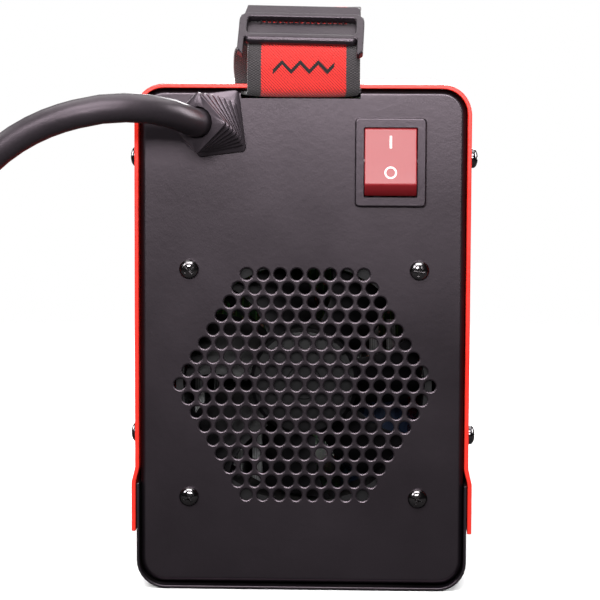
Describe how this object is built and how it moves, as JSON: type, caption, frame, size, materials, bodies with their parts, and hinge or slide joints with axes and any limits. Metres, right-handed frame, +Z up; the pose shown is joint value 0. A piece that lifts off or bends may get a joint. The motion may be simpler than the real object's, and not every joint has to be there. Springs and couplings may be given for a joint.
{
  "type": "stick welding inverter",
  "caption": "Compact stick welding inverter: red cover over a black tray, fan grille, rocker switch and corded rear panel, output sockets and current knob in front, webbing carry strap.",
  "frame": {"origin": "middle of the underside of the base tray, on the ground", "axes": "+Z up; +Y from the rear panel with the fan and cord towards the output sockets; +X to the right seen from the rear"},
  "size_m": [0.3199, 0.3495, 0.2121],
  "materials": {
    "red_paint": "satin powder coat",
    "black_paint": "fine-textured powder coat",
    "black_plastic": "moulded, satin",
    "black_rubber": "moulded rubber",
    "red_plastic": "translucent red, polished",
    "grey_plastic": "moulded, fine texture",
    "black_steel": "black oxide",
    "bright_steel": "turned, nickel plated",
    "brass": "turned",
    "copper": "enamelled copper",
    "aluminium": "extruded",
    "board_green": "solder mask",
    "ferrite": "sintered ferrite",
    "webbing": "woven red and black webbing",
    "lamp_green": "clear tinted lens",
    "lamp_amber": "clear tinted lens"
  },
  "bodies": {
    "root": {"top_cover": "red_paint", "base_tray": "black_paint", "rear_panel": "black_paint", "front_panel": "black_paint", "fan_frame": "black_plastic", "switch_housing": "black_plastic", "strap_buckle": "black_plastic", "output_socket_negative": "black_plastic", "output_socket_positive": "black_plastic", "bus_capacitor_1": "black_plastic", "bus_capacitor_2": "black_plastic", "bridge_rectifier": "black_plastic", "cord_boot": "black_rubber", "power_cord": "black_rubber", "cord_coil": "black_rubber", "cord_tie": "black_rubber", "plug_body": "black_rubber", "front_fascia": "grey_plastic", "boot_lock_ring": "grey_plastic", "fan_screw_1": "black_steel", "fan_screw_2": "black_steel", "fan_screw_3": "black_steel", "fan_screw_4": "black_steel", "side_screw_rear_left_upper": "black_steel", "side_screw_rear_left_lower": "black_steel", "side_screw_rear_right_upper": "black_steel", "side_screw_rear_right_lower": "black_steel", "side_screw_front_left_upper": "black_steel", "side_screw_front_left_lower": "black_steel", "side_screw_front_right_upper": "black_steel", "side_screw_front_right_lower": "black_steel", "fan_motor": "bright_steel", "rocker_pin": "bright_steel", "plug_pin_1": "bright_steel", "plug_pin_2": "bright_steel", "regulator_body": "bright_steel", "socket_contact_negative": "brass", "socket_contact_positive": "brass", "switch_terminal_live": "brass", "switch_terminal_neutral": "brass", "board_standoff_1": "brass", "board_standoff_2": "brass", "board_standoff_3": "brass", "board_standoff_4": "brass", "busbar_negative": "copper", "busbar_positive": "copper", "transformer_winding": "copper", "output_choke": "copper", "heatsink_inverter": "aluminium", "heatsink_output": "aluminium", "main_board": "board_green", "transformer_core": "ferrite", "carry_strap": "webbing", "power_lamp": "lamp_green", "heat_lamp": "lamp_amber"},
    "rocker": {"power_rocker": "red_plastic"},
    "knob": {"current_knob": "black_plastic", "regulator_shaft": "bright_steel"},
    "fan": {"fan_impeller": "black_plastic", "fan_shaft": "bright_steel"}
  },
  "joints": [
    {"name": "rocker_tilt", "type": "hinge", "parent": "root", "child": "rocker", "pos_m": [0.0313, -0.1316, 0.1544], "axis": [1, 0, 0], "range_deg": [0, 24]},
    {"name": "knob_turn", "type": "hinge", "parent": "root", "child": "knob", "pos_m": [0, 0.1401, 0.134], "axis": [0, 1, 0], "range_deg": [-135, 135]},
    {"name": "fan_spin", "type": "hinge", "parent": "root", "child": "fan", "pos_m": [0.0006, -0.1328, 0.0746], "axis": [0, 1, 0], "continuous": true}
  ]
}
